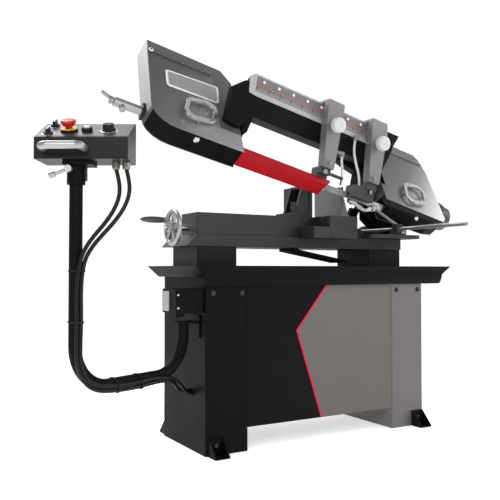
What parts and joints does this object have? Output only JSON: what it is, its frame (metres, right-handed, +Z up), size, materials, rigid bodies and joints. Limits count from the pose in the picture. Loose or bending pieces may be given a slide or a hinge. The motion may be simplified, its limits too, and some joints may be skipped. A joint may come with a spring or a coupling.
{
  "type": "horizontal band saw",
  "caption": "Horizontal metal-cutting band saw with mitring head, quick vise, chip tray, sheet-metal stand and swing-out control box on a pipe arm",
  "frame": {"origin": "centre of the four anchor bolt holes, on the floor", "axes": "+X along the stand towards the motor end, +Y to the rear, +Z up"},
  "size_m": [1.6385, 0.748, 1.2171],
  "materials": {
    "black_steel": "satin black enamel",
    "black_cast": "satin black over casting",
    "grey_paint": "satin warm grey",
    "head_grey": "hammered dark grey",
    "arm_grey": "silver grey enamel",
    "bright_steel": "ground",
    "cast_machined": "machined",
    "zinc": "zinc plated",
    "aluminium": "satin",
    "chrome": "polished",
    "red_paint": "gloss red",
    "band_steel": "blued",
    "scale_silver": "anodised",
    "red_plastic": "gloss",
    "black_plastic": "fine texture",
    "white_plastic": "satin",
    "cable_black": "matt jacket",
    "hose": "soft tube",
    "motor_grey": "satin"
  },
  "bodies": {
    "base": {"left_leg": "black_steel", "right_leg": "grey_paint", "centre_panels": "grey_paint", "anchor_brackets": "black_steel", "stand_bolts": "zinc", "chip_tray": "black_steel", "bed_risers": "black_cast", "bed": "black_cast", "drain_chute": "black_steel", "fixed_jaw": "black_cast", "work_stop_rod": "black_steel", "swivel_base": "black_cast", "pivot_shaft": "bright_steel", "junction_box": "black_steel", "swivel_bracket": "black_steel"},
    "head": {"saw_bow": "black_cast", "scale_plate": "scale_silver", "left_wheel_housing": "head_grey", "right_wheel_housing": "head_grey", "lower_blade_guards": "black_steel", "gearbox": "motor_grey", "motor": "motor_grey", "blade": "band_steel", "tension_cylinder": "zinc"},
    "left_door": {"left_cover": "head_grey"},
    "right_door": {"right_cover": "head_grey"},
    "carriage": {"tension_carriage": "cast_machined"},
    "tension_handle": {"tension_screw": "zinc"},
    "idler": {"idler_wheel": "cast_machined"},
    "drive": {"drive_wheel": "cast_machined", "drive_shaft": "bright_steel"},
    "left_arm": {"left_guide_arm": "arm_grey", "left_guide_block": "black_cast", "blade_guard": "red_paint", "left_coolant_hose": "hose"},
    "right_arm": {"right_guide_arm": "arm_grey", "right_guide_block": "black_cast", "right_coolant_hose": "hose"},
    "left_knob": {"left_arm_knob": "white_plastic"},
    "right_knob": {"right_arm_knob": "white_plastic"},
    "jaw": {"moving_jaw": "black_cast"},
    "screw": {"vise_screw": "bright_steel", "vise_handwheel": "aluminium"},
    "grip": {"handwheel_grip": "chrome"},
    "stop_clamp": {"work_stop_clamp": "zinc"},
    "stop_finger": {"work_stop_finger": "zinc"},
    "feed_barrel": {"feed_cylinder": "black_steel"},
    "feed_piston": {"feed_rod": "chrome"},
    "control": {"control_arm": "black_steel", "control_box": "black_plastic", "box_handle": "chrome", "control_bracket": "black_steel", "left_cable": "cable_black", "right_cable": "cable_black"},
    "lever": {"clamp_lever": "chrome"},
    "e_stop": {"e_stop_button": "red_plastic"},
    "push": {"push_button": "white_plastic"},
    "speed": {"speed_knob": "black_plastic"},
    "power": {"power_selector": "black_plastic"},
    "mode": {"mode_selector": "black_plastic"}
  },
  "joints": [
    {"name": "head_pitch", "type": "hinge", "parent": "base", "child": "head", "pos_m": [0.368, 0.001, 0.665], "axis": [0, 1, 0], "range_deg": [-13.2, 26]},
    {"name": "left_cover_door", "type": "hinge", "parent": "head", "child": "left_door", "pos_m": [-0.42004, 0.0099, 1.15891], "axis": [-0.9736, 0, 0.2284], "range_deg": [0, 100]},
    {"name": "right_cover_door", "type": "hinge", "parent": "head", "child": "right_door", "pos_m": [0.47381, 0.00402, 0.94095], "axis": [-0.9736, 0, 0.2284], "range_deg": [0, 100]},
    {"name": "tension_slide", "type": "slide", "parent": "head", "child": "carriage", "axis": [0.9736, 0, -0.2284], "range_m": [0, 0.008]},
    {"name": "tension_handle_turn", "type": "hinge", "parent": "head", "child": "tension_handle", "pos_m": [-0.62721, -0.08861, 0.97631], "axis": [0.9736, 0, -0.2284], "range_deg": [-5, 365]},
    {"name": "idler_spin", "type": "hinge", "parent": "carriage", "child": "idler", "pos_m": [-0.4232, -0.06365, 0.99871], "axis": [0.1342, -0.809, 0.5723], "continuous": true},
    {"name": "drive_spin", "type": "hinge", "parent": "head", "child": "drive", "pos_m": [0.40093, -0.06365, 0.80541], "axis": [0.1342, -0.809, 0.5723], "continuous": true},
    {"name": "left_arm_slide", "type": "slide", "parent": "head", "child": "left_arm", "axis": [0.9736, 0, -0.2284], "range_m": [-0.1, 0.01]},
    {"name": "right_arm_slide", "type": "slide", "parent": "head", "child": "right_arm", "axis": [0.9736, 0, -0.2284], "range_m": [-0.02, 0]},
    {"name": "left_arm_knob_turn", "type": "hinge", "parent": "left_arm", "child": "left_knob", "pos_m": [0.01231, -0.199, 0.97029], "axis": [0, 1, 0], "range_deg": [-360, 360]},
    {"name": "right_arm_knob_turn", "type": "hinge", "parent": "right_arm", "child": "right_knob", "pos_m": [0.19191, -0.199, 0.93022], "axis": [0, 1, 0], "range_deg": [-360, 360]},
    {"name": "jaw_slide", "type": "slide", "parent": "base", "child": "jaw", "axis": [1, 0, 0], "range_m": [-0.23, 0.112]},
    {"name": "vise_screw_turn", "type": "hinge", "parent": "base", "child": "screw", "pos_m": [-0.464, -0.036, 0.649], "axis": [1, 0, 0], "range_deg": [-6600, 3300]},
    {"name": "handwheel_grip_spin", "type": "hinge", "parent": "screw", "child": "grip", "pos_m": [-0.514, 0.005, 0.673], "axis": [1, 0, 0], "continuous": true},
    {"name": "work_stop_slide", "type": "slide", "parent": "base", "child": "stop_clamp", "axis": [0, 1, 0], "range_m": [-0.26, 0.004]},
    {"name": "work_stop_finger_swing", "type": "hinge", "parent": "stop_clamp", "child": "stop_finger", "pos_m": [0.159, -0.193, 0.722], "axis": [0, 1, 0], "range_deg": [-30, 70]},
    {"name": "feed_cylinder_tilt", "type": "hinge", "parent": "base", "child": "feed_barrel", "pos_m": [0.2382, 0.053, 0.6582], "axis": [0, 1, 0], "range_deg": [-7, 14.5]},
    {"name": "feed_rod_slide", "type": "slide", "parent": "feed_barrel", "child": "feed_piston", "axis": [0.4783, 0, 0.8782], "range_m": [-0.0245, 0.0525]},
    {"name": "control_arm_swing", "type": "hinge", "parent": "base", "child": "control", "pos_m": [-0.459, -0.093, 0.35], "axis": [0, 0, 1], "range_deg": [-8, 65], "deforming": ["left_cable", "right_cable"]},
    {"name": "clamp_lever_turn", "type": "hinge", "parent": "control", "child": "lever", "pos_m": [-0.83732, -0.26666, 0.764], "axis": [0.5066, 0.8622, 0], "range_deg": [-60, 20]},
    {"name": "e_stop_press", "type": "slide", "parent": "control", "child": "e_stop", "axis": [-0.2265, -0.3856, 0.8944], "range_m": [-0.0045, 0], "stiffness_N_per_m": 1500},
    {"name": "push_button_press", "type": "slide", "parent": "control", "child": "push", "axis": [-0.2265, -0.3856, 0.8944], "range_m": [-0.004, 0], "stiffness_N_per_m": 800},
    {"name": "speed_knob_turn", "type": "hinge", "parent": "control", "child": "speed", "pos_m": [-0.74474, -0.28279, 0.8605], "axis": [-0.2265, -0.3856, 0.8944], "range_deg": [-140, 140]},
    {"name": "power_selector_turn", "type": "hinge", "parent": "control", "child": "power", "pos_m": [-0.87659, -0.23084, 0.8495], "axis": [-0.2265, -0.3856, 0.8944], "range_deg": [-45, 45]},
    {"name": "mode_selector_turn", "type": "hinge", "parent": "control", "child": "mode", "pos_m": [-0.84619, -0.17911, 0.8795], "axis": [-0.2265, -0.3856, 0.8944], "range_deg": [-45, 45]}
  ],
  "couplings": [
    {"joint": "vise_screw_turn", "follows": "jaw_slide", "rad_per_m": 494.74},
    {"joint": "tension_handle_turn", "follows": "tension_slide", "rad_per_m": 785.4},
    {"joint": "idler_spin", "follows": "drive_spin", "ratio": 1},
    {"joint": "feed_cylinder_tilt", "follows": "head_pitch", "ratio": 0.5},
    {"joint": "feed_rod_slide", "follows": "head_pitch", "m_per_rad": 0.10624}
  ]
}
